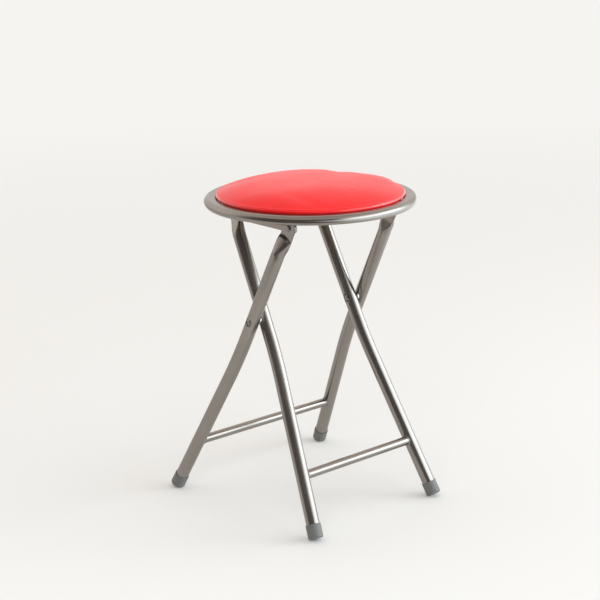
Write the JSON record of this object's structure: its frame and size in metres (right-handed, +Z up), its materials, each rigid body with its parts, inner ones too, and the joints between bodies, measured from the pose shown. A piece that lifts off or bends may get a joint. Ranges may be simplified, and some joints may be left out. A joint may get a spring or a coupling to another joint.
{
  "type": "folding stool",
  "caption": "Folding stool with a round padded vinyl seat in a tubular ring on two crossed tube frames that fold flat under it.",
  "frame": {"origin": "on the floor under the middle of the open stool's overall box", "axes": "+X along the fold axis, +Y from the outer frame's top towards its feet, +Z up"},
  "size_m": [0.3032, 0.3096, 0.4736],
  "materials": {
    "red_vinyl": "smooth semi-gloss upholstery vinyl",
    "foam": "open-cell foam",
    "board": "raw particle board",
    "frame_paint": "silver-grey powder paint, satin",
    "bright_steel": "zinc plated",
    "foot_plastic": "matt grey plastic"
  },
  "bodies": {
    "outer_frame": {"outer_leg_left": "frame_paint", "outer_leg_right": "frame_paint", "outer_stretcher": "frame_paint", "outer_foot_left": "foot_plastic", "outer_foot_right": "foot_plastic", "leg_pivot_rivets": "bright_steel", "leg_spacers": "bright_steel", "seat_pivot_rivets": "bright_steel"},
    "inner_frame": {"inner_leg_left": "frame_paint", "inner_leg_right": "frame_paint", "inner_stretcher": "frame_paint", "inner_foot_left": "foot_plastic", "inner_foot_right": "foot_plastic", "seat_rest_rod": "bright_steel", "rod_push_nuts": "bright_steel"},
    "seat": {"seat_cover": "red_vinyl", "seat_foam": "foam", "seat_board": "board", "cover_staples": "bright_steel", "seat_ring": "frame_paint", "left_rail": "frame_paint", "right_rail": "frame_paint", "rail_screws": "bright_steel"}
  },
  "joints": [
    {"name": "leg_fold", "type": "hinge", "parent": "outer_frame", "child": "inner_frame", "pos_m": [0, 0.0029, 0.2813], "axis": [1, 0, 0], "range_deg": [0, 50]},
    {"name": "seat_fold", "type": "hinge", "parent": "outer_frame", "child": "seat", "pos_m": [0, -0.07158, 0.42561], "axis": [1, 0, 0], "range_deg": [0, 115]}
  ],
  "couplings": [
    {"joint": "seat_fold", "follows": "leg_fold", "ratio": 2.3}
  ]
}
